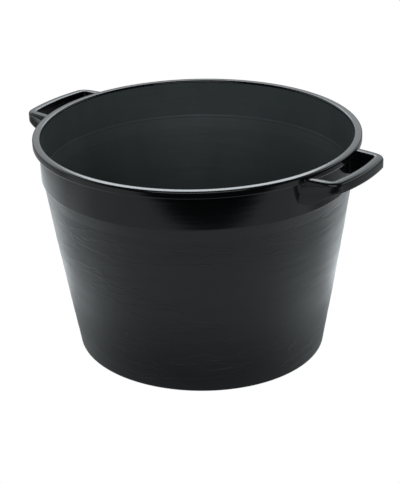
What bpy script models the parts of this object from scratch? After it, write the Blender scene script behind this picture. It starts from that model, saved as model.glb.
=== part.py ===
"""Round mortar mixing tub with two moulded loop handles.

The real tub is one moulding of black polyethylene.  It is modelled here as the
stretches that the moulding is made of, each a closed solid of its own: the floor,
the standing ring with the rounded heel, the tapered wall, the stacking shoulder,
the collar, the rim bead, the turned-down rim skirt, and for each handle a grip and
two bracket arms.  Neighbouring stretches keep a gap of 0.3 mm.

Frame: metres, +Z up, origin on the floor at the centre of the standing ring, the
handles on +X and -X.
"""

import math

import bmesh
import bpy
from mathutils import Matrix

# Whole tub
HEIGHT = 0.390
RIM_RADIUS = 0.280
GAP = 0.0003
SEGMENTS = 72

# Tapered wall
WALL = 0.003
BASE_RADIUS = 0.2165        # where the wall's outer line would meet the ground
WALL_TOP_RADIUS = 0.2628
WALL_TOP_DROP = 0.0924      # below the rim's top
WALL_BOW = 0.0009           # how far the wall bellies out halfway up
WALL_STEPS = 4

# Floor and heel
FLOOR = 0.0035
FLOOR_LIFT = 0.002          # the floor stands clear of the ground inside the ring
FLOOR_RADIUS = 0.194
FLOOR_EDGE = 0.0004         # small chamfer on the floor plate's rim
HEEL_RADIUS = 0.006
INSIDE_HEEL_RADIUS = 0.012
RING_INNER_RADIUS = 0.197
RING_TOP = 0.022
HEEL_STEPS = 3

# Stacking shoulder and collar
COLLAR_BOTTOM_DROP = 0.0718
COLLAR_RADIUS = 0.2698
COLLAR_FOOT_RADIUS = 0.2687
COLLAR_INSIDE = 0.2662
COLLAR_FOOT_INSIDE = 0.2656
COLLAR_EDGE = 0.0008
SHOULDER_RADIUS = 0.2671    # outside the wall, just under the collar's step
LEDGE_DROP = 0.0668         # the ledge inside the collar, which a nested tub rests on
LEDGE_WIDTH = 0.0014

# Rim
BEAD_DEPTH = 0.0042
BEAD_OUTER_ROUND = 0.0032
BEAD_INNER_ROUND = 0.0016
BEAD_STEPS = 3
SKIRT_DROP = 0.0125
SKIRT = 0.0028
SKIRT_EDGE = 0.0007

# Handles
HANDLE_DROP = 0.0054        # the loop's top lies this far below the rim's top
GRIP_RADIUS = 0.3312
GRIP_INSIDE = 0.3156
GRIP_DEPTH = 0.0178
ARM_ROOT_X = 0.269
ARM_ROOT_Y = 0.0760
ARM_WIDTH = 0.0138
ARM_TOE_IN = math.radians(5.0)
ARM_LENGTH = 0.0300
ARM_BURIED = 0.030          # the loop's outline runs this far into the tub before it is trimmed
ARM_FOOT_DROP = 0.0492      # the bracket's lowest edge, at the collar
SWEEP_START_X = 0.269       # the bracket's lower edge sweeps up between these two
SWEEP_END_X = 0.325
SWEEP_STEPS = 8
OUTER_CORNER = 0.021
INNER_CORNER = 0.006
CORNER_STEPS = 4
GRIP_STEPS = 10
CHANNEL_WALL = 0.003
CHANNEL_ROOF = 0.0035
LOOP_ROUND = 0.0020
CUT_MARGIN = 0.05

BLACK = (0.011, 0.0125, 0.013)
LOOKS = {
    "floor_plate": 0.50,
    "foot_ring": 0.45,
    "lower_wall": 0.42,
    "stacking_shoulder": 0.40,
    "collar_band": 0.22,
    "rim_bead": 0.28,
    "rim_skirt": 0.25,
    "handle_grip": 0.33,
    "handle_arm": 0.33,
}

WALL_TOP = HEIGHT - WALL_TOP_DROP
WALL_SLOPE = (WALL_TOP_RADIUS - BASE_RADIUS) / WALL_TOP
TAPER = math.atan(WALL_SLOPE)
LOOP_TOP = HEIGHT - HANDLE_DROP


def clear_scene():
    for item in list(bpy.data.objects):
        bpy.data.objects.remove(item, do_unlink=True)


def new_collection(name):
    group = bpy.data.collections.new(name)
    bpy.context.scene.collection.children.link(group)
    return group


def plastic(kind):
    """The tub's black polyethylene, with this stretch's own gloss."""
    name = "polyethylene_" + kind
    material = bpy.data.materials.get(name)
    if material is None:
        material = bpy.data.materials.new(name)
        material.use_nodes = True
        shader = material.node_tree.nodes["Principled BSDF"]
        shader.inputs["Base Color"].default_value = (*BLACK, 1.0)
        shader.inputs["Roughness"].default_value = LOOKS[kind]
        shader.inputs["Metallic"].default_value = 0.0
    return material


def arc(centre_r, centre_z, radius, start, end, steps):
    """Points on an arc in the (radius, height) plane, angles in degrees."""
    points = []
    for i in range(steps + 1):
        angle = math.radians(start + (end - start) * i / steps)
        points.append((centre_r + radius * math.cos(angle), centre_z + radius * math.sin(angle)))
    return points


def wall_outside(z):
    bow = WALL_BOW * math.sin(math.pi * min(max(z / WALL_TOP, 0.0), 1.0))
    return BASE_RADIUS + WALL_SLOPE * z + bow


def wall_inside(z):
    return wall_outside(z) - WALL / math.cos(TAPER)


def turned(name, kind, profile, group):
    """A ring: the closed profile runs down its outer side and back up its inner side."""
    mesh = bpy.data.meshes.new(name)
    corners = [(r, 0.0, z) for r, z in profile]
    edges = [(i, (i + 1) % len(corners)) for i in range(len(corners))]
    mesh.from_pydata(corners, edges, [])
    ring = bpy.data.objects.new(name, mesh)
    group.objects.link(ring)
    screw = ring.modifiers.new("turn", "SCREW")
    screw.steps = SEGMENTS
    screw.render_steps = SEGMENTS
    screw.use_merge_vertices = True
    screw.merge_threshold = 0.00001
    screw.use_smooth_shade = True
    if kind:
        mesh.materials.append(plastic(kind))
    return ring


def make_floor(group):
    """The flat floor inside the standing ring."""
    top = FLOOR_LIFT + FLOOR
    bpy.ops.mesh.primitive_cylinder_add(
        vertices=SEGMENTS,
        radius=FLOOR_RADIUS - GAP,
        depth=FLOOR,
        location=(0.0, 0.0, top - FLOOR / 2),
    )
    plate = bpy.context.active_object
    plate.name = "floor_plate"
    plate.data.name = "floor_plate"
    bevel = plate.modifiers.new("edge", "BEVEL")
    bevel.width = FLOOR_EDGE
    bevel.segments = 1
    plate.data.materials.append(plastic("floor_plate"))
    for other in list(plate.users_collection):
        other.objects.unlink(plate)
    group.objects.link(plate)


def make_foot_ring(group):
    """The standing ring, with the rounded heel between floor and wall."""
    tilt = math.degrees(TAPER)
    heel_z = HEEL_RADIUS * (1 - math.sin(TAPER))
    heel_r = wall_outside(heel_z) - HEEL_RADIUS * math.cos(TAPER)
    floor_top = FLOOR_LIFT + FLOOR
    inside_z = floor_top + INSIDE_HEEL_RADIUS * (1 - math.sin(TAPER))
    inside_r = wall_inside(inside_z) - INSIDE_HEEL_RADIUS * math.cos(TAPER)
    inside_centre_z = floor_top + INSIDE_HEEL_RADIUS
    profile = [(wall_outside(RING_TOP), RING_TOP)]
    profile += arc(heel_r, HEEL_RADIUS, HEEL_RADIUS, -tilt, -90.0, HEEL_STEPS)
    profile.append((RING_INNER_RADIUS, 0.0))
    profile.append((RING_INNER_RADIUS - FLOOR_LIFT, FLOOR_LIFT))
    profile.append((FLOOR_RADIUS, FLOOR_LIFT))
    profile.append((FLOOR_RADIUS, floor_top))
    profile += arc(inside_r, inside_centre_z, INSIDE_HEEL_RADIUS, -90.0, -tilt, HEEL_STEPS)
    profile.append((wall_inside(RING_TOP), RING_TOP))
    turned("foot_ring", "foot_ring", profile, group)


def make_lower_wall(group):
    """The tapered wall, slightly bellied."""
    low = RING_TOP + GAP
    high = WALL_TOP - GAP
    heights = [high + (low - high) * i / WALL_STEPS for i in range(WALL_STEPS + 1)]
    profile = [(wall_outside(z), z) for z in heights]
    profile += [(wall_inside(z), z) for z in reversed(heights)]
    turned("lower_wall", "lower_wall", profile, group)


def make_shoulder(group):
    """The ring where the wall widens under the collar."""
    top = HEIGHT - COLLAR_BOTTOM_DROP - GAP
    profile = [
        (SHOULDER_RADIUS, top),
        (WALL_TOP_RADIUS, WALL_TOP),
        (WALL_TOP_RADIUS - WALL / math.cos(TAPER), WALL_TOP),
        (COLLAR_FOOT_INSIDE - LEDGE_WIDTH, top),
    ]
    turned("stacking_shoulder", "stacking_shoulder", profile, group)


def make_collar(group):
    """The upright collar band between the shoulder's step and the rim, with the ledge inside."""
    top = HEIGHT - BEAD_DEPTH - GAP
    foot = HEIGHT - COLLAR_BOTTOM_DROP
    ledge = HEIGHT - LEDGE_DROP
    ledge_inside = COLLAR_FOOT_INSIDE - LEDGE_WIDTH
    profile = [
        (COLLAR_RADIUS, top),
        (COLLAR_FOOT_RADIUS, foot + COLLAR_EDGE),
        (COLLAR_FOOT_RADIUS - COLLAR_EDGE, foot),
        (ledge_inside, foot),
        (ledge_inside, ledge - LEDGE_WIDTH / 2),
        (COLLAR_FOOT_INSIDE, ledge),
        (COLLAR_INSIDE, top),
    ]
    turned("collar_band", "collar_band", profile, group)


def make_rim(group):
    """The bead on top of the collar, and the skirt turned down outside it."""
    bottom = HEIGHT - BEAD_DEPTH
    outer = BEAD_OUTER_ROUND
    inner = BEAD_INNER_ROUND
    bead = [(RIM_RADIUS, bottom), (COLLAR_INSIDE, bottom)]
    bead += arc(COLLAR_INSIDE + inner, HEIGHT - inner, inner, 180.0, 90.0, BEAD_STEPS)
    bead += arc(RIM_RADIUS - outer, HEIGHT - outer, outer, 90.0, 0.0, BEAD_STEPS)
    turned("rim_bead", "rim_bead", bead, group)
    top = bottom - GAP
    foot = HEIGHT - SKIRT_DROP
    inside = RIM_RADIUS - SKIRT
    skirt = [
        (RIM_RADIUS, top),
        (RIM_RADIUS, foot + SKIRT_EDGE),
        (RIM_RADIUS - SKIRT_EDGE, foot),
        (inside + SKIRT_EDGE, foot),
        (inside, foot + SKIRT_EDGE),
        (inside, top),
    ]
    turned("rim_skirt", "rim_skirt", skirt, group)


def arm_point(along, across):
    """A plan point in the front arm's frame: along it from the rim, across it inwards."""
    cos_toe = math.cos(ARM_TOE_IN)
    sin_toe = math.sin(ARM_TOE_IN)
    x = ARM_ROOT_X + along * cos_toe - across * sin_toe
    y = -ARM_ROOT_Y + along * sin_toe + across * cos_toe
    return x, y


def corner_round(across, circle, radius):
    """Points rounding the corner between an arm's edge and the grip's circle."""
    side = across + radius
    start_x, start_y = arm_point(0.0, side)
    step_x = math.cos(ARM_TOE_IN)
    step_y = math.sin(ARM_TOE_IN)
    half = start_x * step_x + start_y * step_y
    rest = start_x ** 2 + start_y ** 2 - (circle - radius) ** 2
    along = -half + math.sqrt(half ** 2 - rest)
    centre_x, centre_y = arm_point(along, side)
    first = ARM_TOE_IN - math.pi / 2
    last = math.atan2(centre_y, centre_x)
    points = []
    for i in range(CORNER_STEPS + 1):
        angle = first + (last - first) * i / CORNER_STEPS
        points.append((centre_x + radius * math.cos(angle), centre_y + radius * math.sin(angle)))
    return points


def loop_side(across, circle, radius, reach):
    """One edge of the loop in plan, from the front arm's root round to the rear arm's."""
    front = [arm_point(-reach, across)]
    front += corner_round(across, circle, radius)
    start = math.atan2(front[-1][1], front[-1][0])
    middle = []
    for i in range(1, GRIP_STEPS):
        angle = start - 2 * start * i / GRIP_STEPS
        middle.append((circle * math.cos(angle), circle * math.sin(angle)))
    rear = [(x, -y) for x, y in reversed(front)]
    return front + middle + rear


def loop_outline(inset, reach):
    """The closed plan outline of the handle loop, or of the channel inside it."""
    half = ARM_WIDTH / 2
    outer = loop_side(inset - half, GRIP_RADIUS - inset, OUTER_CORNER - inset, reach)
    inner = loop_side(half - inset, GRIP_INSIDE + inset, INNER_CORNER + inset, reach)
    return outer + list(reversed(inner))


def extruded(name, outline, depth, group, matrix):
    """A flat outline given thickness, as a closed mesh."""
    curve = bpy.data.curves.new(name + "_outline", "CURVE")
    curve.dimensions = "2D"
    curve.fill_mode = "BOTH"
    curve.extrude = depth / 2
    spline = curve.splines.new("POLY")
    spline.points.add(len(outline) - 1)
    for point, (x, y) in zip(spline.points, outline):
        point.co = (x, y, 0.0, 1.0)
    spline.use_cyclic_u = True
    holder = bpy.data.objects.new(name + "_outline", curve)
    group.objects.link(holder)
    bpy.context.view_layer.update()
    evaluated = holder.evaluated_get(bpy.context.evaluated_depsgraph_get())
    mesh = bpy.data.meshes.new_from_object(evaluated)
    mesh.name = name
    bpy.data.objects.remove(holder, do_unlink=True)
    shape = bmesh.new()
    shape.from_mesh(mesh)
    bmesh.ops.remove_doubles(shape, verts=shape.verts, dist=0.000001)
    bmesh.ops.dissolve_limit(shape, angle_limit=0.001, verts=shape.verts, edges=shape.edges)
    bmesh.ops.transform(shape, matrix=matrix, verts=shape.verts)
    bmesh.ops.recalc_face_normals(shape, faces=shape.faces)
    shape.to_mesh(mesh)
    shape.free()
    solid = bpy.data.objects.new(name, mesh)
    group.objects.link(solid)
    return solid


def as_cutter(item):
    item.hide_render = True
    item.display_type = "WIRE"
    return item


def cutter_box(name, low, high, group):
    bpy.ops.mesh.primitive_cube_add(size=1.0)
    box = bpy.context.active_object
    box.name = name
    size = [b - a for a, b in zip(low, high)]
    middle = [(a + b) / 2 for a, b in zip(low, high)]
    for corner in box.data.vertices:
        corner.co = [middle[i] + corner.co[i] * size[i] for i in range(3)]
    for other in list(box.users_collection):
        other.objects.unlink(box)
    group.objects.link(box)
    return as_cutter(box)


def sweep_drop(x):
    """How far below the rim's top the bracket's lower edge lies."""
    t = min(max((x - SWEEP_START_X) / (SWEEP_END_X - SWEEP_START_X), 0.0), 1.0)
    ease = t * t * (3 - 2 * t)
    grip_drop = HANDLE_DROP + GRIP_DEPTH
    return ARM_FOOT_DROP + (grip_drop - ARM_FOOT_DROP) * ease


def make_sweep_cutter(group):
    """Everything below the brackets' lower edge, which sweeps up towards the grip."""
    outline = []
    for i in range(SWEEP_STEPS + 1):
        x = SWEEP_START_X + (SWEEP_END_X - SWEEP_START_X) * i / SWEEP_STEPS
        outline.append((x, HEIGHT - sweep_drop(x)))
    far = GRIP_RADIUS + CUT_MARGIN
    near = ARM_ROOT_X - CUT_MARGIN
    outline.append((far, HEIGHT - HANDLE_DROP - GRIP_DEPTH))
    outline.append((far, HEIGHT - ARM_FOOT_DROP - CUT_MARGIN))
    outline.append((near, HEIGHT - ARM_FOOT_DROP - CUT_MARGIN))
    outline.append((near, HEIGHT - ARM_FOOT_DROP))
    upright = Matrix.Rotation(math.pi / 2, 4, "X")
    cutter = extruded("sweep_cutter", outline, 2 * (ARM_ROOT_Y + CUT_MARGIN), group, upright)
    return as_cutter(cutter)


def make_channel_cutter(group):
    """The channel under the loop, open below, which leaves its roof and two walls."""
    depth = ARM_FOOT_DROP + CUT_MARGIN
    outline = loop_outline(CHANNEL_WALL, ARM_BURIED + CUT_MARGIN)
    lift = Matrix.Translation((0.0, 0.0, LOOP_TOP - CHANNEL_ROOF - depth / 2))
    cutter = extruded("channel_cutter", outline, depth, group, lift)
    return as_cutter(cutter)


def make_tub_cutter(group):
    """The tub's own space, which ends each arm just short of the collar and the skirt."""
    top = HEIGHT + CUT_MARGIN
    skirt_foot = HEIGHT - SKIRT_DROP - GAP
    low = HEIGHT - ARM_FOOT_DROP - CUT_MARGIN
    profile = [
        (RIM_RADIUS + GAP, top),
        (RIM_RADIUS + GAP, skirt_foot),
        (COLLAR_RADIUS + GAP, skirt_foot),
        (COLLAR_RADIUS + GAP, low),
        (0.0, low),
        (0.0, top),
    ]
    return as_cutter(turned("tub_cutter", None, profile, group))


def cut(target, tool, operation="DIFFERENCE"):
    boolean = target.modifiers.new(tool.name, "BOOLEAN")
    boolean.operation = operation
    boolean.solver = "EXACT"
    boolean.object = tool


def make_handles(group, tools):
    """Each handle: a grip and two bracket arms, cut from one loop."""
    depth = ARM_FOOT_DROP - HANDLE_DROP
    outline = loop_outline(0.0, ARM_BURIED)
    lift = Matrix.Translation((0.0, 0.0, LOOP_TOP - depth / 2))
    loop = extruded("loop", outline, depth, tools, lift)
    sweep = make_sweep_cutter(tools)
    channel = make_channel_cutter(tools)
    tub = make_tub_cutter(tools)

    split_x, split_y = arm_point(ARM_LENGTH, 0.0)
    high = HEIGHT + CUT_MARGIN
    low = HEIGHT - ARM_FOOT_DROP - CUT_MARGIN
    far = GRIP_RADIUS + CUT_MARGIN
    wide = ARM_ROOT_Y + CUT_MARGIN
    regions = {
        "handle_grip": cutter_box("grip_region", (split_x + GAP, -wide, low), (far, wide, high), tools),
        "handle_front_arm": cutter_box("front_region", (0.0, -wide, low), (split_x, 0.0, high), tools),
        "handle_rear_arm": cutter_box("rear_region", (0.0, 0.0, low), (split_x, wide, high), tools),
    }
    opposite = {
        "handle_grip": "handle_grip",
        "handle_front_arm": "handle_rear_arm",
        "handle_rear_arm": "handle_front_arm",
    }
    for kind, region in regions.items():
        piece = loop.copy()
        piece.data = loop.data.copy()
        piece.name = "right_" + kind
        group.objects.link(piece)
        look = "handle_grip" if kind == "handle_grip" else "handle_arm"
        piece.data.materials.append(plastic(look))
        bevel = piece.modifiers.new("edges", "BEVEL")
        bevel.width = LOOP_ROUND
        bevel.segments = 2
        bevel.limit_method = "ANGLE"
        bevel.angle_limit = math.radians(50)
        for tool in (sweep, channel, tub):
            cut(piece, tool)
        cut(piece, region, "INTERSECT")
        bpy.context.view_layer.update()
        evaluated = piece.evaluated_get(bpy.context.evaluated_depsgraph_get())
        twin_mesh = bpy.data.meshes.new_from_object(evaluated)
        twin = bpy.data.objects.new("left_" + opposite[kind], twin_mesh)
        twin.rotation_euler = (0.0, 0.0, math.pi)
        group.objects.link(twin)
    bpy.data.objects.remove(loop, do_unlink=True)


def main():
    clear_scene()
    tub = new_collection("mortar_mixing_tub")
    tools = new_collection("cutters")
    make_floor(tub)
    make_foot_ring(tub)
    make_lower_wall(tub)
    make_shoulder(tub)
    make_collar(tub)
    make_rim(tub)
    make_handles(tub, tools)


main()
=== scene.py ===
"""The look of the mortar mixing tub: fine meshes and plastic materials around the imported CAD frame."""

import math

import bpy
from mathutils import Matrix, Vector, noise


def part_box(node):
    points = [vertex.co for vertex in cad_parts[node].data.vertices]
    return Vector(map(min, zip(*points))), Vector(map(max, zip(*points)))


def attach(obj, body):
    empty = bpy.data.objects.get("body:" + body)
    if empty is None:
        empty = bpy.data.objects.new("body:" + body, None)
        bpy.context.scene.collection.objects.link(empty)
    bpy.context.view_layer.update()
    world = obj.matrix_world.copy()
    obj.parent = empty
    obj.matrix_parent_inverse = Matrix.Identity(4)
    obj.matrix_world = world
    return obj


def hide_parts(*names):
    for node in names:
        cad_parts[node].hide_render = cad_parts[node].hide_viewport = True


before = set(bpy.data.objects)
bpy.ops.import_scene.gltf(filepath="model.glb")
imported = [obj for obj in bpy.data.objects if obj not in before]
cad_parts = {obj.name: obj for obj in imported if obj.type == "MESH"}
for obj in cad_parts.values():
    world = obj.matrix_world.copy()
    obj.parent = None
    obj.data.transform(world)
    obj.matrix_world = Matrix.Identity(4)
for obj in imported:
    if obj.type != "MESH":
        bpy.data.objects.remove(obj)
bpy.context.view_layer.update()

MM = 0.001
BODY = "root"

# ---------------------------------------------------------------- sizes, from the frame


def radius_of(node):
    low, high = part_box(node)
    return (high.x - low.x) / 2


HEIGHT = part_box("rim_bead")[1].z
RIM_RADIUS = radius_of("rim_bead")
SKIRT_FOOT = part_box("rim_skirt")[0].z
BEAD_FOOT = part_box("rim_bead")[0].z
COLLAR_RADIUS = radius_of("collar_band")
COLLAR_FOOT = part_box("collar_band")[0].z
WALL_TOP_RADIUS = radius_of("lower_wall")
WALL_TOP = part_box("stacking_shoulder")[0].z
SHOULDER_RADIUS = radius_of("stacking_shoulder")
RING_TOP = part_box("foot_ring")[1].z
RING_TOP_RADIUS = radius_of("foot_ring")
FLOOR_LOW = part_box("floor_plate")[0].z
FLOOR_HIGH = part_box("floor_plate")[1].z
FLOOR_RADIUS = radius_of("floor_plate")
LOOP_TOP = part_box("right_handle_grip")[1].z
GRIP_DEPTH = 17.8 * MM
GRIP_FOOT = LOOP_TOP - GRIP_DEPTH
GRIP_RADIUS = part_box("right_handle_grip")[1].x
ARM_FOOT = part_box("right_handle_front_arm")[0].z

WALL = 3.0 * MM
WALL_SLOPE = (WALL_TOP_RADIUS - RING_TOP_RADIUS) / (WALL_TOP - RING_TOP)
WALL_BOW = 0.9 * MM
HEEL = 6.0 * MM
INSIDE_HEEL = 12.0 * MM
COLLAR_WALL = 3.6 * MM
COLLAR_INSIDE = COLLAR_RADIUS - COLLAR_WALL
COLLAR_TAPER = 1.5 * MM     # how much the collar closes in inside, down to its ledge
LEDGE_DROP = 66.8 * MM      # from the rim's top down to the ledge
LEDGE_TOP = HEIGHT - LEDGE_DROP
LEDGE = 1.0 * MM
SKIRT = 2.8 * MM
BASE_OVAL = 0.0185          # the flexible foot is this much longer along the handles
TURN = 360                  # steps of a surface turned about Z
SHARP = math.radians(38)    # edges that bend more than this are shaded as sharp


# ---------------------------------------------------------------- turned surfaces


def arc(centre_r, centre_z, radius, start, end, steps):
    """Points on an arc between two angles in degrees, both ends included."""
    points = []
    for i in range(steps + 1):
        angle = math.radians(start + (end - start) * i / steps)
        points.append((centre_r + radius * math.cos(angle), centre_z + radius * math.sin(angle)))
    return points


def line(start, end, steps):
    """Points from start up to, and without, end."""
    points = []
    for i in range(steps):
        t = i / steps
        points.append((start[0] + (end[0] - start[0]) * t, start[1] + (end[1] - start[1]) * t))
    return points


def ease(value, start, end):
    """0 up to start, 1 from end on, and a smooth rise between them."""
    t = min(max((value - start) / (end - start), 0.0), 1.0)
    return t * t * (3 - 2 * t)


def wall_outside(z):
    t = min(max((z - RING_TOP) / (WALL_TOP - RING_TOP), 0.0), 1.0)
    return RING_TOP_RADIUS + WALL_SLOPE * (z - RING_TOP) + WALL_BOW * math.sin(math.pi * t)


def wall_inside(z):
    return wall_outside(z) - WALL


def oval(x, y, z):
    """The flexible tub is slightly longer along the handles, most at its foot."""
    stretch = BASE_OVAL * (1.0 - min(max(z / HEIGHT, 0.0), 1.0))
    return x * (1 + stretch), y * (1 - stretch)


def make_mesh(name, points, faces):
    mesh = bpy.data.meshes.new(name)
    mesh.from_pydata(points, [], faces)
    mesh.shade_smooth()
    mesh.set_sharp_from_angle(angle=SHARP)
    piece = bpy.data.objects.new(name, mesh)
    bpy.context.scene.collection.objects.link(piece)
    return piece


def turned(name, profile, relief=None, inside=None):
    """A closed (r, z) profile, given clockwise, turned about Z.

    relief shifts each point.  The faces from one profile point of inside to the other take the
    piece's second material.
    """
    count = len(profile)
    points = []
    for i in range(TURN):
        angle = 2 * math.pi * i / TURN
        for r, z in profile:
            if relief:
                r, z = relief(r, z, angle)
            x, y = oval(r * math.cos(angle), r * math.sin(angle), z)
            points.append((x, y, z))
    faces = []
    for i in range(TURN):
        near = i * count
        far = ((i + 1) % TURN) * count
        for j in range(count):
            k = (j + 1) % count
            faces.append((near + j, near + k, far + k, far + j))
    piece = make_mesh(name, points, faces)
    if inside:
        first, last = inside
        ring = [1 if first <= j < last else 0 for j in range(count)]
        piece.data.polygons.foreach_set("material_index", ring * TURN)
    return piece


def waves(x, y, z, across, upwards, shift=0.0):
    """A smooth noise about zero.  across and upwards say how quickly it changes."""
    return noise.noise(Vector((x * across + shift, y * across, z * upwards)))


def flow_relief(r, z, angle):
    """Shallow, wavy flow marks that lie along the wall, stronger towards its foot."""
    mark_height = 0.16 * MM
    more_at_foot = 0.34 * MM
    sway_height = 12.0 * MM
    bend_height = 0.35 * MM
    fade_height = 20.0 * MM
    x = r * math.cos(angle)
    y = r * math.sin(angle)
    low = 1.0 - min(max(z / WALL_TOP, 0.0), 1.0)
    sway = sway_height * waves(x, y, z, 14.0, 6.0)
    marks = (mark_height + more_at_foot * low) * waves(x, y, z + sway, 13.0, 58.0)
    bends = bend_height * waves(x, y, z, 3.0, 14.0, shift=7.0)
    fade = max(min(1.0, (z - RING_TOP) / fade_height, (WALL_TOP - z) / fade_height), 0.0)
    return r + fade * (marks + bends), z


# ---------------------------------------------------------------- tub pieces


def make_floor():
    """Floor plate, with the moulding gate's mark under its middle."""
    middle = 0.1 * MM
    overlap = 0.3 * MM
    gate_radius = 11.0 * MM
    gate_dish = 0.9 * MM
    gate_high = FLOOR_LOW + gate_dish
    nub_radius = 3.2 * MM
    nub_slope = 0.4 * MM
    nub_drop = 0.8 * MM
    nub_low = gate_high - nub_drop
    profile = line((middle, FLOOR_HIGH), (FLOOR_RADIUS, FLOOR_HIGH), 24)
    profile.append((FLOOR_RADIUS + overlap, FLOOR_HIGH))
    inside = (0, len(profile) - 1)
    profile.append((FLOOR_RADIUS + overlap, FLOOR_LOW))
    profile += line((FLOOR_RADIUS, FLOOR_LOW), (gate_radius + gate_dish, FLOOR_LOW), 20)
    profile.append((gate_radius + gate_dish, FLOOR_LOW))
    profile.append((gate_radius, gate_high))
    profile.append((nub_radius + nub_slope, gate_high))
    profile.append((nub_radius, nub_low))
    profile.append((middle, nub_low))
    return turned("tub_floor", profile, inside=inside)


def make_foot_ring():
    """The rounded heel, the flat ring that the tub stands on, and the floor's inside corner."""
    tilt = math.atan(WALL_SLOPE)
    tilt_degrees = math.degrees(tilt)
    heel_z = HEEL * (1 - math.sin(tilt))
    heel_r = wall_outside(heel_z) - HEEL * math.cos(tilt)
    inside_z = FLOOR_HIGH + INSIDE_HEEL * (1 - math.sin(tilt))
    inside_r = wall_inside(inside_z) - INSIDE_HEEL * math.cos(tilt)
    land = FLOOR_RADIUS + 3.3 * MM      # the ring is flat from here outwards
    land_edge = 1.0 * MM
    profile = line((wall_outside(RING_TOP), RING_TOP), (wall_outside(heel_z), heel_z), 6)
    profile += arc(heel_r, HEEL, HEEL, -tilt_degrees, -90.0, 12)
    profile += arc(land, land_edge, land_edge, -90.0, -180.0, 5)
    profile.append((land - FLOOR_LOW, FLOOR_LOW))
    profile.append((FLOOR_RADIUS, FLOOR_LOW))
    first = len(profile)
    profile.append((FLOOR_RADIUS, FLOOR_HIGH))
    profile += arc(inside_r, FLOOR_HIGH + INSIDE_HEEL, INSIDE_HEEL, -90.0, -tilt_degrees, 12)
    profile.append((wall_inside(RING_TOP), RING_TOP))
    return turned("tub_foot_ring", profile, inside=(first, len(profile) - 1))


def make_wall():
    """The tapered wall, with its flow marks."""
    steps = 135
    heights = [WALL_TOP + (RING_TOP - WALL_TOP) * i / steps for i in range(steps + 1)]
    profile = [(wall_outside(z), z) for z in heights]
    profile += [(wall_inside(z), z) for z in reversed(heights)]
    return turned("tub_wall", profile, relief=flow_relief, inside=(steps + 1, 2 * steps + 1))


def make_shoulder():
    """The wall's widening under the collar."""
    inside = COLLAR_INSIDE - COLLAR_TAPER - LEDGE
    profile = line((SHOULDER_RADIUS, COLLAR_FOOT), (WALL_TOP_RADIUS, WALL_TOP), 10)
    profile.append((WALL_TOP_RADIUS, WALL_TOP))
    first = len(profile)
    profile += line((wall_inside(WALL_TOP), WALL_TOP), (inside, COLLAR_FOOT), 10)
    profile.append((inside, COLLAR_FOOT))
    return turned("tub_shoulder", profile, inside=(first, len(profile) - 1))


def make_collar():
    """The upright band, with a small ledge inside that a nested tub rests on."""
    overlap = 0.4 * MM
    top = BEAD_FOOT + overlap
    edge = 0.9 * MM
    outer_taper = 1.1 * MM
    foot_radius = COLLAR_RADIUS - outer_taper
    above_ledge = COLLAR_INSIDE - COLLAR_TAPER
    ledge_low = LEDGE_TOP - 3.2 * MM
    ledge_height = 4.4 * MM
    ledge_steps = 8
    band_foot = LEDGE_TOP + 1.8 * MM
    profile = line((COLLAR_RADIUS, top), (foot_radius, COLLAR_FOOT + edge), 24)
    profile += arc(foot_radius - edge, COLLAR_FOOT + edge, edge, 0.0, -90.0, 6)
    first = len(profile)
    profile.append((above_ledge - LEDGE, COLLAR_FOOT))
    for i in range(ledge_steps + 1):
        t = i / ledge_steps
        out = LEDGE * (1.0 - ease(t, 0.0, 1.0))
        profile.append((above_ledge - out, ledge_low + ledge_height * t))
    profile += line((above_ledge, band_foot), (COLLAR_INSIDE, top), 24)
    profile.append((COLLAR_INSIDE, top))
    return turned("tub_collar", profile, inside=(first, len(profile) - 1))


def make_bead():
    """The rim's top: a slightly crowned land that falls outwards, between two rounded edges."""
    inner = 3.2 * MM
    outer = 2.7 * MM
    crown = 0.12 * MM
    fall = 0.28 * MM
    land_in = COLLAR_INSIDE + inner
    land_out = RIM_RADIUS - outer
    land_top = HEIGHT - crown
    land_steps = 12
    profile = [(RIM_RADIUS, BEAD_FOOT), (COLLAR_INSIDE, BEAD_FOOT)]
    profile += arc(land_in, land_top - inner, inner, 180.0, 95.0, 8)
    for i in range(1, land_steps):
        t = i / land_steps
        lift = crown * math.sin(math.pi * t) - fall * t
        profile.append((land_in + (land_out - land_in) * t, land_top + lift))
    profile += arc(land_out, land_top - fall - outer, outer, 84.0, 0.0, 8)
    return turned("tub_rim_bead", profile)


def make_skirt():
    """The lip that hangs down outside the collar."""
    overlap = 0.2 * MM
    top = BEAD_FOOT + overlap
    edge = 1.35 * MM
    inside = RIM_RADIUS - SKIRT
    profile = line((RIM_RADIUS, top), (RIM_RADIUS, SKIRT_FOOT + edge), 6)
    profile += arc(RIM_RADIUS - edge, SKIRT_FOOT + edge, edge, 0.0, -90.0, 7)
    profile += arc(inside + edge, SKIRT_FOOT + edge, edge, -90.0, -180.0, 7)
    profile.append((inside, top))
    return turned("tub_rim_skirt", profile)


# ---------------------------------------------------------------- handles

ARM_ROOT_X = 269.0 * MM
ARM_HALF = 82.9 * MM        # from the handle's middle line to the arm's outer face, at the rim
ARM_TOE_IN = math.radians(5.0)
STRAP = 15.6 * MM           # the grip's width
ARM_STRAP = 13.8 * MM       # and each arm's
OUTER_CORNER = 21.0 * MM
INNER_CORNER = 6.0 * MM
ARM_END = 268.0 * MM        # each arm ends inside the thickness of the collar
SWEEP = (269.0 * MM, 325.0 * MM)            # between these reaches the lower edge sweeps up
ARM_TO_GRIP = (294.0 * MM, 316.0 * MM)      # and the arm's section turns into the grip's
ROOT_TO_GRIP = (272.0 * MM, 312.0 * MM)     # the deep lip at the root gets shallow
CROWN = 0.40 * MM           # the top's middle is this much higher than its edges
ARM_EDGE = 2.8 * MM         # the rounding of the loop's outer top edge, along the arm
GRIP_EDGE = 5.0 * MM        # and along the grip
EDGE_IN = 1.2 * MM          # the rounding of its inner top edge
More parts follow.
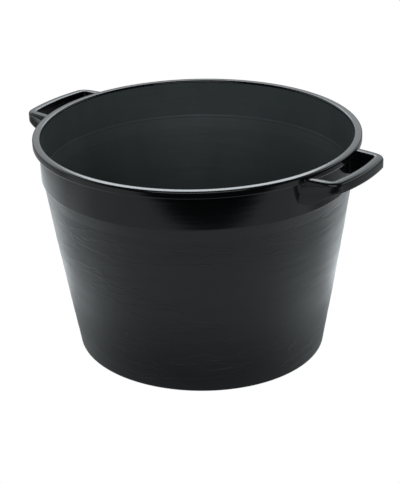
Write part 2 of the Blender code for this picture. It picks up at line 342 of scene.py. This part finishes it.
EDGE_LOW = 0.9 * MM         # and of its lower edges
LIP = 0.8 * MM              # the upright face under the outer top edge
ROOT_LIP = 6.5 * MM         # what the lip has more at the arm's root
LIP_EDGE = 0.5 * MM
LIP_STEP = 1.4 * MM         # the height of the step under the lip
ARM_INSET = 1.3 * MM        # how far the arm's flank stands back under its lip
CHANNEL_WALL = 3.0 * MM
WALL_INSET = 0.6            # the channel's wall moves in by this share of the inset
ROOF = 4.7 * MM
OUTER_HOLLOW = 3.0 * MM     # the slopes in the hollow's two upper corners
INNER_HOLLOW = 1.2 * MM
FILLET = 1.5 * MM
FILLET_TURN = 3.2           # how quickly the fillet's spread changes sides across the strap
FILLET_DROP = 0.6           # the share of the spread that also goes downwards


def arm_point(along, across):
    """A point of the front arm: along it from the rim, and across it from its outer face."""
    cos_toe = math.cos(ARM_TOE_IN)
    sin_toe = math.sin(ARM_TOE_IN)
    x = ARM_ROOT_X + along * cos_toe - across * sin_toe
    y = -ARM_HALF + along * sin_toe + across * cos_toe
    return x, y


def reach_circle(across, circle):
    """How far along the arm a line parallel to it crosses a circle about the tub's axis."""
    start_x, start_y = arm_point(0.0, across)
    half = start_x * math.cos(ARM_TOE_IN) + start_y * math.sin(ARM_TOE_IN)
    rest = start_x ** 2 + start_y ** 2 - circle ** 2
    return -half + math.sqrt(half ** 2 - rest)


def loop_side(across, circle, corner):
    """One edge of the loop in plan: the front arm, a rounded corner, the grip, and so on."""
    side = across + corner
    root = reach_circle(across, ARM_END)
    along = reach_circle(side, circle - corner)
    centre_x, centre_y = arm_point(along, side)
    first = ARM_TOE_IN - math.pi / 2
    last = math.atan2(centre_y, centre_x)
    arm_steps = 36
    corner_steps = 16
    grip_steps = 60
    points = []
    for i in range(arm_steps):
        t = i / arm_steps
        points.append(arm_point(root + (along - root) * t, across))
    for i in range(corner_steps):
        angle = first + (last - first) * i / corner_steps
        points.append((centre_x + corner * math.cos(angle), centre_y + corner * math.sin(angle)))
    for i in range(grip_steps // 2 + 1):
        angle = last * (1 - 2 * i / grip_steps)
        points.append((circle * math.cos(angle), circle * math.sin(angle)))
    mirror = [(x, -y) for x, y in reversed(points[:-1])]
    return points + mirror


def sweep_foot(x):
    """The height of the loop's lower edge, which sweeps up from the collar to the grip."""
    return ARM_FOOT + (GRIP_FOOT - ARM_FOOT) * ease(x, *SWEEP)


def section_outline(width, reach, outer_foot, inner_foot):
    """The inverted channel's outline, from the outer top edge down, round the hollow and back.

    reach is how far out along the handle it is, which turns the arm's shape into the grip's.
    """
    on_arm = 1.0 - ease(reach, *ARM_TO_GRIP)
    near_root = 1.0 - ease(reach, *ROOT_TO_GRIP)
    top = LOOP_TOP - CROWN
    edge = GRIP_EDGE + (ARM_EDGE - GRIP_EDGE) * on_arm
    lip_foot = LOOP_TOP - edge - LIP - ROOT_LIP * near_root
    flank_top = lip_foot - LIP_STEP
    inset = ARM_INSET * on_arm
    outline = arc(edge, top - edge, edge, 90.0, 180.0, 10)
    outline.append((0.0, lip_foot))
    outline.append((inset / 2, lip_foot - LIP_EDGE))
    outline.append((inset, flank_top))
    outline.append((inset, (flank_top + outer_foot) / 2))
    outline += arc(inset + EDGE_LOW, outer_foot + EDGE_LOW, EDGE_LOW, 180.0, 270.0, 3)

    outer_wall = CHANNEL_WALL + inset * WALL_INSET
    inner_wall = width - CHANNEL_WALL
    roof = LOOP_TOP - ROOF
    outline.append((outer_wall - EDGE_LOW, outer_foot))
    outline.append((outer_wall, outer_foot + EDGE_LOW))
    outline.append((outer_wall, roof - OUTER_HOLLOW))
    outline.append((outer_wall + OUTER_HOLLOW, roof))
    outline.append((inner_wall - INNER_HOLLOW, roof))
    outline.append((inner_wall, roof - INNER_HOLLOW))
    outline.append((inner_wall, inner_foot + EDGE_LOW))
    outline.append((inner_wall + EDGE_LOW, inner_foot))

    outline.append((width - EDGE_LOW, inner_foot))
    outline.append((width, inner_foot + EDGE_LOW))
    outline.append((width, (inner_foot + LOOP_TOP) / 2))
    outline += arc(width - EDGE_IN, top - EDGE_IN, EDGE_IN, 0.0, 90.0, 6)
    crown_steps = 6
    for i in range(1, crown_steps):
        t = i / crown_steps
        across = width - EDGE_IN + (edge + EDGE_IN - width) * t
        outline.append((across, top + CROWN * math.sin(math.pi * t)))
    return outline


def loop_section(outer, inner):
    """The loop's section between a point on its outer and one on its inner edge."""
    outer_x, outer_y = outer
    inner_x, inner_y = inner
    width = math.hypot(inner_x - outer_x, inner_y - outer_y)
    reach = (outer_x + inner_x) / 2
    section = []
    for across, z in section_outline(width, reach, sweep_foot(outer_x), sweep_foot(inner_x)):
        t = across / width
        x = outer_x + (inner_x - outer_x) * t
        y = outer_y + (inner_y - outer_y) * t
        section.append(flare(x, y, z, t))
    return section


def flare(x, y, z, t):
    """Spreads the arm's faces where they run into the skirt or the collar, as a fillet does.

    t is 0 on the loop's outer edge and 1 on its inner edge.
    """
    surface = RIM_RADIUS if z > SKIRT_FOOT else COLLAR_RADIUS
    clear = math.hypot(x, y) - surface
    if clear >= FILLET:
        return x, y, z
    clear = max(clear, 0.0)
    spread = FILLET - math.sqrt(FILLET ** 2 - (FILLET - clear) ** 2)
    side = 1.0 if y > 0 else -1.0
    share = max(min((0.5 - t) * FILLET_TURN, 1.0), -1.0)
    y = y + side * spread * share
    if z < GRIP_FOOT:
        z = z - spread * FILLET_DROP
    return x, y, z


def make_handle(name, angle):
    """One loop: its sections joined along the arm, the grip and the other arm."""
    outer = loop_side(0.0, GRIP_RADIUS, OUTER_CORNER)
    inner = loop_side(ARM_STRAP, GRIP_RADIUS - STRAP, INNER_CORNER)
    sections = [loop_section(a, b) for a, b in zip(outer, inner)]
    count = len(sections[0])
    points = [point for section in sections for point in section]
    faces = []
    for i in range(len(sections) - 1):
        for j in range(count):
            k = (j + 1) % count
            faces.append((i * count + j, (i + 1) * count + j, (i + 1) * count + k, i * count + k))
    last = (len(sections) - 1) * count
    faces.append(tuple(range(count)))
    faces.append(tuple(reversed(range(last, last + count))))
    piece = make_mesh(name, points, faces)
    piece.data.transform(Matrix.Rotation(angle, 4, "Z"))
    return piece


# ---------------------------------------------------------------- materials


class Nodes:
    """Short calls for building a node tree."""

    def __init__(self, tree):
        self.tree = tree

    def add(self, kind, **settings):
        node = self.tree.nodes.new(kind)
        for key, value in settings.items():
            setattr(node, key, value)
        return node

    def link(self, source, target):
        self.tree.links.new(source, target)

    def put(self, value, target):
        """Links a socket, or sets a plain value."""
        if isinstance(value, bpy.types.NodeSocket):
            self.link(value, target)
        else:
            target.default_value = value

    def mix(self, factor, low, high):
        """A float between two values, by a factor socket."""
        node = self.add("ShaderNodeMapRange")
        self.link(factor, node.inputs["Value"])
        node.inputs["To Min"].default_value = low
        node.inputs["To Max"].default_value = high
        return node.outputs["Result"]

    def mix_colour(self, factor, low, high):
        node = self.add("ShaderNodeMix", data_type="RGBA")
        self.link(factor, node.inputs["Factor"])
        self.put(low, node.inputs["A"])
        self.put(high, node.inputs["B"])
        return node.outputs["Result"]

    def noise(self, scale, flatten, detail, rough):
        """Noise in the object's own space, squashed in height by flatten."""
        coords = self.add("ShaderNodeTexCoord")
        mapping = self.add("ShaderNodeMapping")
        mapping.inputs["Scale"].default_value = (1.0, 1.0, flatten)
        self.link(coords.outputs["Object"], mapping.inputs["Vector"])
        texture = self.add("ShaderNodeTexNoise")
        texture.inputs["Scale"].default_value = scale
        texture.inputs["Detail"].default_value = detail
        texture.inputs["Roughness"].default_value = rough
        self.link(mapping.outputs["Vector"], texture.inputs["Vector"])
        return texture.outputs["Fac"]

    def band(self, value, low, high):
        """0 below low, 1 above high."""
        node = self.add("ShaderNodeMapRange")
        node.interpolation_type = "SMOOTHSTEP"
        self.link(value, node.inputs["Value"])
        node.inputs["From Min"].default_value = low
        node.inputs["From Max"].default_value = high
        return node.outputs["Result"]

    def times(self, first, second):
        node = self.add("ShaderNodeMath", operation="MULTIPLY")
        self.link(first, node.inputs[0])
        self.put(second, node.inputs[1])
        return node.outputs[0]

    def vector(self, operation, first, second=None):
        """A float worked out from a vector socket, and from a fixed vector where one is given."""
        node = self.add("ShaderNodeVectorMath", operation=operation)
        self.link(first, node.inputs[0])
        if second is not None:
            node.inputs[1].default_value = second
        return node.outputs["Value"]

    def height(self, source):
        """The Z of a vector socket."""
        parts = self.add("ShaderNodeSeparateXYZ")
        self.link(source, parts.inputs[0])
        return parts.outputs["Z"]

    def bump(self, relief, depth, strength=1.0, under=None):
        """Relief of this depth, on top of the relief under it."""
        node = self.add("ShaderNodeBump")
        node.inputs["Strength"].default_value = strength
        node.inputs["Distance"].default_value = depth
        self.link(relief, node.inputs["Height"])
        if under is not None:
            self.link(under, node.inputs["Normal"])
        return node.outputs["Normal"]


def crease_mask(make):
    """Bent ridges in patches, half as high further up the wall and none under the tub."""
    folds = make.noise(scale=9.0, flatten=4.8, detail=2.5, rough=0.48)
    rising = make.band(folds, 0.450, 0.500)
    falling = make.band(folds, 0.500, 0.522)
    ridges = make.times(rising, make.mix(falling, 1.0, 0.0))
    spread = make.noise(scale=5.0, flatten=1.6, detail=2.0, rough=0.5)
    patches = make.band(spread, 0.42, 0.60)
    height = make.height(make.add("ShaderNodeTexCoord").outputs["Object"])
    lower_above = make.mix(make.band(height, 100.0 * MM, 260.0 * MM), 1.0, 0.5)
    on_wall = make.times(make.band(height, 6.0 * MM, 20.0 * MM), lower_above)
    return make.times(make.times(ridges, patches), on_wall)


def plastic(name, dark, light, smooth, rough, flow, grain, crease=0.0, streak_height=7.0):
    """Black polyethylene: tone streaks, uneven gloss, flow marks, creases and a fine moulded grain.

    smooth and rough limit the roughness.  flow, grain and crease are depths of relief.  A high
    streak_height lays the streaks flat, a low one draws them out upwards.
    """
    scuff_share = 0.5
    scuff_lift = 1.7
    material = bpy.data.materials.new(name)
    material.use_nodes = True
    make = Nodes(material.node_tree)
    shader = material.node_tree.nodes["Principled BSDF"]
    shader.inputs["IOR"].default_value = 1.5
    shader.inputs["Metallic"].default_value = 0.0

    streaks = make.noise(scale=7.0, flatten=streak_height, detail=4.0, rough=0.6)
    tone = make.mix_colour(make.band(streaks, 0.32, 0.68), (*dark, 1.0), (*light, 1.0))
    scuffs = make.noise(scale=55.0, flatten=4.5, detail=6.0, rough=0.7)
    scuff_mask = make.times(make.band(scuffs, 0.60, 0.74), scuff_share)
    scuff_tone = (*[part * scuff_lift for part in light], 1.0)
    make.link(make.mix_colour(scuff_mask, tone, scuff_tone), shader.inputs["Base Color"])

    gloss = make.noise(scale=16.0, flatten=2.2, detail=5.0, rough=0.62)
    make.link(make.mix(gloss, smooth, rough), shader.inputs["Roughness"])

    marks = make.noise(scale=11.0, flatten=9.0, detail=2.0, rough=0.45)
    grains = make.noise(scale=900.0, flatten=1.0, detail=2.0, rough=0.5)
    marked = make.bump(marks, flow)
    creased = make.bump(crease_mask(make), crease, under=marked)
    grained = make.bump(grains, grain, strength=0.5, under=creased)
    make.link(grained, shader.inputs["Normal"])
    return material


BODY_PLASTIC = plastic(
    "body_polyethylene",
    dark=(0.0045, 0.0055, 0.006), light=(0.0065, 0.0078, 0.008),
    smooth=0.28, rough=0.42, flow=0.30 * MM, grain=0.02 * MM, crease=0.42 * MM,
)
# The inside is the same black plastic as the outside, given a much lighter tone here: painted light that
# stands in for the light falling into the tub.
INSIDE_PLASTIC_PAINTED_LIGHT = plastic(
    "inside_polyethylene_painted_light",
    dark=(0.064, 0.074, 0.076), light=(0.080, 0.092, 0.094),
    smooth=0.46, rough=0.60, flow=0.40 * MM, grain=0.02 * MM, streak_height=0.5,
)
COLLAR_PLASTIC = plastic(
    "collar_polyethylene",
    dark=(0.0010, 0.0013, 0.0014), light=(0.0018, 0.0022, 0.0024),
    smooth=0.09, rough=0.16, flow=0.08 * MM, grain=0.004 * MM,
)
RIM_PLASTIC = plastic(
    "rim_polyethylene",
    dark=(0.0020, 0.0026, 0.0028), light=(0.0032, 0.0038, 0.0040),
    smooth=0.09, rough=0.14, flow=0.10 * MM, grain=0.004 * MM,
)
HANDLE_PLASTIC = plastic(
    "handle_polyethylene",
    dark=(0.0022, 0.0028, 0.0030), light=(0.0034, 0.0041, 0.0044),
    smooth=0.16, rough=0.24, flow=0.20 * MM, grain=0.006 * MM,
)


# ---------------------------------------------------------------- assembly


def place(piece, materials, slot, *nodes):
    """Puts a piece on the tub's body, in the place of its CAD nodes."""
    for material in materials:
        piece.data.materials.append(material)
    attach(piece, BODY)
    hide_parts(*nodes)


# Each piece's second material, on its inside faces, is the lighter copy of the plastic that carries
# painted light.
place(make_floor(), (BODY_PLASTIC, INSIDE_PLASTIC_PAINTED_LIGHT), "body", "floor_plate")
place(make_foot_ring(), (BODY_PLASTIC, INSIDE_PLASTIC_PAINTED_LIGHT), "body", "foot_ring")
place(make_wall(), (BODY_PLASTIC, INSIDE_PLASTIC_PAINTED_LIGHT), "body", "lower_wall")
place(make_shoulder(), (BODY_PLASTIC, INSIDE_PLASTIC_PAINTED_LIGHT), "body", "stacking_shoulder")
place(make_collar(), (COLLAR_PLASTIC, INSIDE_PLASTIC_PAINTED_LIGHT), "collar", "collar_band")
place(make_bead(), (RIM_PLASTIC,), "rim", "rim_bead")
place(make_skirt(), (RIM_PLASTIC,), "rim", "rim_skirt")
for side, angle in (("right", 0.0), ("left", math.pi)):
    nodes = [side + "_handle_grip", side + "_handle_front_arm", side + "_handle_rear_arm"]
    place(make_handle(side + "_handle_loop", angle), (HANDLE_PLASTIC,), "handle", *nodes)


# ---------------------------------------------------------------- camera

CAMERA_AZIMUTH = math.radians(36.5)
CAMERA_ELEVATION = math.radians(24.51)
CAMERA_DISTANCE = 2.4918
CAMERA_AIM = Vector((0.00036, 0.00027, 0.1795))
CAMERA_LENS = 105.22        # in millimetres, as is the sensor's width
CAMERA_SENSOR = 36.0
CAMERA_ROLL = -0.0242

# ---------------------------------------------------------------- studio

DAYLIGHT = (0.90, 0.965, 1.0, 1.0)      # slightly cool
WHITE = (1.0, 1.0, 1.0, 1.0)


def level_away(azimuth):
    """The level direction that leads away from a viewer at this azimuth."""
    return Vector((-math.sin(azimuth), math.cos(azimuth), 0.0))


AWAY = level_away(CAMERA_AZIMUTH)
LEFT = Vector((-AWAY.y, AWAY.x, 0.0))   # as the camera sees it
DARK_SIDE = -level_away(CAMERA_AZIMUTH + math.radians(3.5))      # towards the unlit side of the room
BRIGHT_SIDE = level_away(CAMERA_AZIMUTH - math.radians(5.5))     # towards the lit backdrop

# The room as the tub reflects it.  Heights are those of a direction of length 1.
ROOM_LIGHT = 0.10
BACKDROP_LIGHT = 1.40
HORIZON_LIGHT = 0.24        # the backdrop's dim lowest part
BACKDROP_TOP = (0.50, 0.66)     # upwards, the backdrop gives way to the room between these heights
BACKDROP_END = (-0.15, 0.35)    # and sideways between these, measured towards the unlit side
HORIZON_TOP = (0.10, 0.33)      # the horizon's dim part brightens between these heights

# The table as the tub reflects it.
FLOOR_SIZE = 60.0
FLOOR_DROP = 0.2 * MM
TABLE_SIDE = 0.86           # its brightness beside and behind the tub
TABLE_FRONT = 0.53          # and in front of it
FRONT_TO_SIDE = (-0.45, -0.02)  # towards the bright side, one becomes the other between these
TABLE_GLOW = 1.30           # the extra light behind the tub, of which 1 at most counts
GLOW_FAR = 0.25             # the share of it that is left far out
MOST_LIGHT = 2.0            # the table's own light and that extra light together
GLOW_START = (-0.01, 0.32)  # towards the bright side, it grows between these
GLOW_FADE = (0.55, 0.90)    # and between these distances from the tub's axis it fades
SIDE_LIGHT = 0.8            # the extra light close beside the tub
SIDE_START = (-0.30, -0.05)     # towards the bright side, it grows between these
SIDE_FADE = (0.34, 0.50)    # and between these distances from the axis it fades to nothing
CONTACT_LIGHT = 0.30        # what the tub's own shade leaves of the light
CONTACT = (0.24, 0.46)      # between these distances from the axis the shade ends
LIT_CENTRE = LEFT * 0.15    # the table's light is centred left of the tub
FAR_LIGHT = 0.32            # what is left of it far from there, behind the tub
FAR_FADE = (0.68, 1.05)     # it weakens between these distances from that centre
FAR_START = (-0.35, 0.0)    # and, towards the bright side, sets in between these
TABLE_END = (0.835, 0.945)  # towards the unlit side, the table ends between these
BEYOND_TABLE = 0.01


def table_light(make, position):
    """How bright the table is at a position, for the tub's reflections."""
    backwards = make.vector("DOT_PRODUCT", position, BRIGHT_SIDE)
    darkwards = make.vector("DOT_PRODUCT", position, DARK_SIDE)
    distance = make.vector("LENGTH", position)
    from_centre = make.vector("DISTANCE", position, LIT_CENTRE)
    base = make.mix(make.band(backwards, *FRONT_TO_SIDE), TABLE_FRONT, TABLE_SIDE)
    glow_reach = make.mix(make.band(distance, *GLOW_FADE), TABLE_GLOW, TABLE_GLOW * GLOW_FAR)
    glow = make.times(make.band(backwards, *GLOW_START), glow_reach)
    side_reach = make.mix(make.band(distance, *SIDE_FADE), SIDE_LIGHT, 0.0)
    side_glow = make.times(make.band(backwards, *SIDE_START), side_reach)
    lifted = make.times(make.mix(glow, 1.0, MOST_LIGHT), make.mix(side_glow, 1.0, MOST_LIGHT))
    shade = make.mix(make.band(distance, *CONTACT), CONTACT_LIGHT, 1.0)
    far = make.times(make.band(from_centre, *FAR_FADE), make.band(backwards, *FAR_START))
    weaker = make.mix(far, 1.0, FAR_LIGHT)
    on_table = make.mix(make.band(darkwards, *TABLE_END), 1.0, BEYOND_TABLE)
    return make.times(make.times(base, lifted), make.times(on_table, make.times(shade, weaker)))


def make_stage():
    """The floor: white to the camera, the unevenly lit table to reflections, clear from below."""
    bpy.ops.mesh.primitive_plane_add(size=FLOOR_SIZE, location=(0.0, 0.0, -FLOOR_DROP))
    floor = bpy.context.active_object
    floor.name = "studio_floor"
    material = bpy.data.materials.new("studio_floor")
    material.use_nodes = True
    tree = material.node_tree
    make = Nodes(tree)
    tree.nodes.remove(tree.nodes["Principled BSDF"])
    path = make.add("ShaderNodeLightPath")
    geometry = make.add("ShaderNodeNewGeometry")
    seen = make.add("ShaderNodeEmission")
    table = make.add("ShaderNodeEmission")
    table.inputs["Color"].default_value = DAYLIGHT
    make.link(table_light(make, geometry.outputs["Position"]), table.inputs["Strength"])
    clear = make.add("ShaderNodeBsdfTransparent")
    from_above = make.add("ShaderNodeMixShader")
    make.link(path.outputs["Is Camera Ray"], from_above.inputs["Fac"])
    make.link(table.outputs[0], from_above.inputs[1])
    make.link(seen.outputs[0], from_above.inputs[2])
    either_side = make.add("ShaderNodeMixShader")
    make.link(geometry.outputs["Backfacing"], either_side.inputs["Fac"])
    make.link(from_above.outputs[0], either_side.inputs[1])
    make.link(clear.outputs[0], either_side.inputs[2])
    make.link(either_side.outputs[0], tree.nodes["Material Output"].inputs["Surface"])
    floor.data.materials.append(material)


def make_world():
    """White to the camera; for the rest a bright backdrop behind the tub and a dim room in front."""
    world = bpy.data.worlds.new("studio")
    world.use_nodes = True
    bpy.context.scene.world = world
    tree = world.node_tree
    make = Nodes(tree)
    path = make.add("ShaderNodeLightPath")
    direction = make.add("ShaderNodeTexCoord").outputs["Generated"]
    height = make.height(direction)
    darkwards = make.vector("DOT_PRODUCT", direction, DARK_SIDE)
    upwards = make.mix(make.band(height, *BACKDROP_TOP), BACKDROP_LIGHT, ROOM_LIGHT)
    sideways = make.mix(make.band(darkwards, *BACKDROP_END), 1.0, ROOM_LIGHT / BACKDROP_LIGHT)
    horizon = make.mix(make.band(height, *HORIZON_TOP), HORIZON_LIGHT / BACKDROP_LIGHT, 1.0)
    surround = tree.nodes["Background"]
    surround.inputs["Color"].default_value = DAYLIGHT
    make.link(make.times(make.times(upwards, sideways), horizon), surround.inputs["Strength"])
    seen = make.add("ShaderNodeBackground")
    seen.inputs["Color"].default_value = WHITE
    mixed = make.add("ShaderNodeMixShader")
    make.link(path.outputs["Is Camera Ray"], mixed.inputs["Fac"])
    make.link(surround.outputs[0], mixed.inputs[1])
    make.link(seen.outputs[0], mixed.inputs[2])
    make.link(mixed.outputs[0], tree.nodes["World Output"].inputs["Surface"])


def softbox(name, along, height, aim_height, width, depth, radiance):
    """A rectangular lamp that the camera doesn't see, before or behind the tub and aimed at it."""
    light = bpy.data.lights.new(name, "AREA")
    light.shape = "RECTANGLE"
    light.size = width
    light.size_y = depth
    light.energy = radiance * math.pi * width * depth
    light.color = DAYLIGHT[:3]
    where = AWAY * along + Vector((0.0, 0.0, height))
    target = Vector((0.0, 0.0, aim_height))
    lamp = bpy.data.objects.new(name, light)
    lamp.location = where
    lamp.rotation_euler = (target - where).to_track_quat("-Z", "Y").to_euler()
    lamp.visible_camera = False
    bpy.context.scene.collection.objects.link(lamp)


def make_camera():
    camera = bpy.data.cameras.new("camera")
    camera.sensor_width = CAMERA_SENSOR
    camera.lens = CAMERA_LENS
    holder = bpy.data.objects.new("camera", camera)
    bpy.context.scene.collection.objects.link(holder)
    flat = math.cos(CAMERA_ELEVATION)
    away = Vector((
        math.sin(CAMERA_AZIMUTH) * flat,
        -math.cos(CAMERA_AZIMUTH) * flat,
        math.sin(CAMERA_ELEVATION),
    ))
    where = CAMERA_AIM + CAMERA_DISTANCE * away
    look = (CAMERA_AIM - where).to_track_quat("-Z", "Y").to_matrix().to_4x4()
    holder.matrix_world = Matrix.Translation(where) @ look @ Matrix.Rotation(CAMERA_ROLL, 4, "Z")
    bpy.context.scene.camera = holder


make_stage()
make_world()
softbox("front_high", along=-2.4, height=1.6, aim_height=0.35, width=3.0, depth=2.0, radiance=1.45)
softbox("back_band", along=2.2, height=1.66, aim_height=0.38, width=1.0, depth=0.58, radiance=3.5)
make_camera()
bpy.context.scene.view_settings.view_transform = "Standard"
